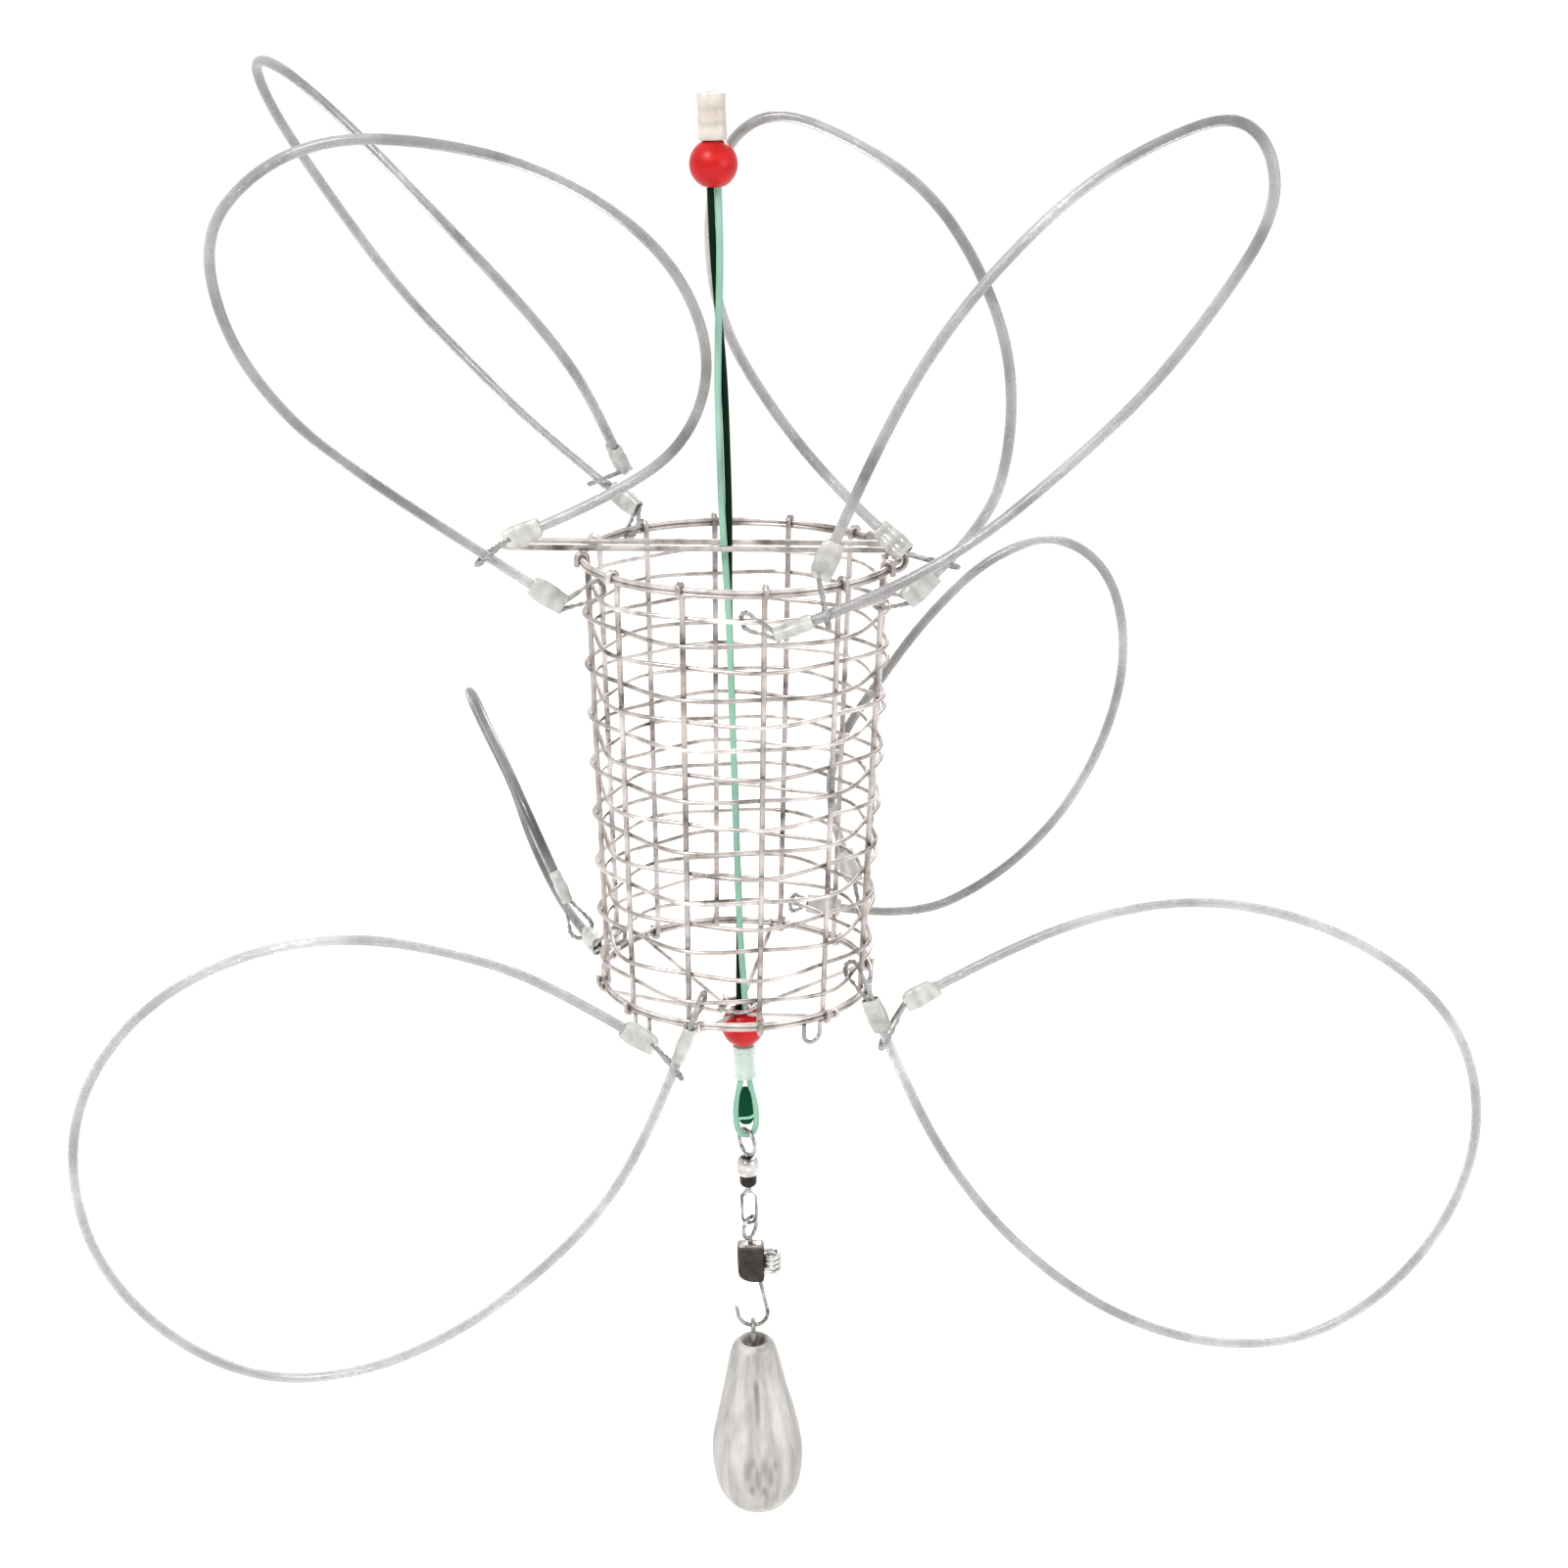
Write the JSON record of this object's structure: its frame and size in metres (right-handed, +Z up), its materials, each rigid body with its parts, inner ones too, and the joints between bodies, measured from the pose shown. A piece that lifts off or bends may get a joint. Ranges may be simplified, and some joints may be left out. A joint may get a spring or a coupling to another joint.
{
  "type": "hanging crab snare cage",
  "caption": "Woven wire bait cage on a doubled line, with slip-noose wire snares round its rims, stop beads, a swivel, a snap and a pear sinker below.",
  "frame": {"origin": "mouth of the top crimp sleeve on the line's axis, where the object hangs", "axes": "+Z up along the hauling line, -Y is the front, +X is to the right seen from the front"},
  "size_m": [0.257, 0.113, 0.2778],
  "materials": {
    "stainless_wire": "drawn wire, satin",
    "crimp_alloy": "satin, dented by the crimping jaws",
    "cable_jacket": "clear grey coat over stranded steel",
    "green_line": "green coat over stranded steel",
    "liner_green": "smooth",
    "clear_sleeve": "translucent, smooth",
    "red_bead": "gloss",
    "swivel_metal": "dark nickel",
    "clasp_metal": "dark nickel sheet",
    "cast_lead": "cast, oxidised"
  },
  "bodies": {
    "line": {"hauling_line": "green_line", "top_crimp_sleeve": "clear_sleeve", "lower_crimp_sleeve": "clear_sleeve", "eye_liner": "liner_green"},
    "top_bead": {"top_bead": "red_bead"},
    "lower_bead": {"lower_bead": "red_bead"},
    "cage": {"cage_uprights": "stainless_wire", "cage_rows": "stainless_wire", "top_rim": "stainless_wire", "bottom_rim": "stainless_wire", "rim_splice_ferrule": "crimp_alloy", "floor_spokes": "stainless_wire", "floor_eye": "stainless_wire", "wire_tails": "stainless_wire"},
    "closure_clip": {"closure_clip": "stainless_wire"},
    "snare_a": {"snare_a_cable": "cable_jacket", "snare_a_crimps": "crimp_alloy", "snare_a_eyes": "stainless_wire"},
    "snare_b": {"snare_b_cable": "cable_jacket", "snare_b_crimps": "crimp_alloy", "snare_b_eyes": "stainless_wire"},
    "snare_c": {"snare_c_cable": "cable_jacket", "snare_c_crimps": "crimp_alloy", "snare_c_eyes": "stainless_wire"},
    "snare_d": {"snare_d_cable": "cable_jacket", "snare_d_crimps": "crimp_alloy", "snare_d_eyes": "stainless_wire"},
    "snare_e": {"snare_e_cable": "cable_jacket", "snare_e_crimps": "crimp_alloy", "snare_e_eyes": "stainless_wire"},
    "snare_f": {"snare_f_cable": "cable_jacket", "snare_f_crimps": "crimp_alloy", "snare_f_eyes": "stainless_wire"},
    "snare_g": {"snare_g_cable": "cable_jacket", "snare_g_crimps": "crimp_alloy", "snare_g_eyes": "stainless_wire"},
    "snare_h": {"snare_h_cable": "cable_jacket", "snare_h_crimps": "crimp_alloy", "snare_h_eyes": "stainless_wire"},
    "swivel_upper": {"swivel_upper_eye": "stainless_wire"},
    "swivel_barrel": {"swivel_barrel": "swivel_metal"},
    "swivel_lower": {"swivel_lower_eye": "stainless_wire"},
    "snap": {"snap_ring": "stainless_wire", "snap_clasp": "clasp_metal", "snap_coil": "stainless_wire"},
    "snap_hook": {"snap_hook": "stainless_wire"},
    "sinker": {"sinker_body": "cast_lead", "sinker_eye": "stainless_wire"}
  },
  "joints": [
    {"name": "top_bead_slide", "type": "slide", "parent": "line", "child": "top_bead", "axis": [0, 0, -1], "range_m": [0, 0.02]},
    {"name": "cage_lift", "type": "slide", "parent": "line", "child": "lower_bead", "axis": [0, 0, 1], "range_m": [0, 0.03]},
    {"name": "cage_spin", "type": "hinge", "parent": "lower_bead", "child": "cage", "pos_m": [0, 0, -0.1619], "axis": [0, 0, 1], "continuous": true},
    {"name": "clip_hinge", "type": "hinge", "parent": "cage", "child": "closure_clip", "pos_m": [0.02903, 0, -0.078], "axis": [0, 1, 0], "range_deg": [0, 35]},
    {"name": "snare_a_swing", "type": "hinge", "parent": "cage", "child": "snare_a", "pos_m": [-0.02246, -0.00696, -0.08079], "axis": [-0.2755, 0.9613, 0.0096], "range_deg": [-10, 10]},
    {"name": "snare_b_swing", "type": "hinge", "parent": "cage", "child": "snare_b", "pos_m": [-0.0175, 0.01881, -0.07637], "axis": [0.6942, 0.7193, -0.0242], "range_deg": [-10, 10]},
    {"name": "snare_c_swing", "type": "hinge", "parent": "cage", "child": "snare_c", "pos_m": [0.02591, -0.01176, -0.08248], "axis": [-0.4381, -0.8988, 0.0153], "range_deg": [-10, 5]},
    {"name": "snare_d_swing", "type": "hinge", "parent": "cage", "child": "snare_d", "pos_m": [0.00367, -0.02677, -0.0817], "axis": [-0.997, -0.0698, 0.0348], "range_deg": [-10, 10]},
    {"name": "snare_e_swing", "type": "hinge", "parent": "cage", "child": "snare_e", "pos_m": [0.01018, 0.02212, -0.1508], "axis": [0.8982, -0.4384, -0.0314], "range_deg": [-10, 10]},
    {"name": "snare_f_swing", "type": "hinge", "parent": "cage", "child": "snare_f", "pos_m": [-0.02293, 0.00557, -0.14964], "axis": [0.2418, 0.9703, -0.0084], "range_deg": [-8, 10]},
    {"name": "snare_g_swing", "type": "hinge", "parent": "cage", "child": "snare_g", "pos_m": [-0.00655, -0.02388, -0.15021], "axis": [-0.9697, 0.2419, 0.0339], "range_deg": [-5, 10]},
    {"name": "snare_h_swing", "type": "hinge", "parent": "cage", "child": "snare_h", "pos_m": [0.02009, -0.0101, -0.15114], "axis": [-0.4381, -0.8988, 0.0153], "range_deg": [-2, 8]},
    {"name": "swivel_swing", "type": "hinge", "parent": "line", "child": "swivel_upper", "pos_m": [0, 0, -0.1886], "axis": [1, 0, 0], "range_deg": [-25, 25]},
    {"name": "barrel_spin", "type": "hinge", "parent": "swivel_upper", "child": "swivel_barrel", "pos_m": [0, 0, -0.196], "axis": [0, 0, 1], "continuous": true},
    {"name": "lower_eye_spin", "type": "hinge", "parent": "swivel_barrel", "child": "swivel_lower", "pos_m": [0, 0, -0.2], "axis": [0, 0, 1], "continuous": true},
    {"name": "snap_swing", "type": "hinge", "parent": "swivel_lower", "child": "snap", "pos_m": [0, 0, -0.2073], "axis": [1, 0, 0], "range_deg": [-25, 25]},
    {"name": "snap_opening", "type": "hinge", "parent": "snap", "child": "snap_hook", "pos_m": [0.0017, 0, -0.2142], "axis": [0, -1, 0], "range_deg": [0, 8], "stiffness_Nm_per_rad": 0.08},
    {"name": "sinker_swing", "type": "hinge", "parent": "snap_hook", "child": "sinker", "pos_m": [0, 0, -0.2298], "axis": [1, 0, 0], "range_deg": [-25, 25]}
  ]
}
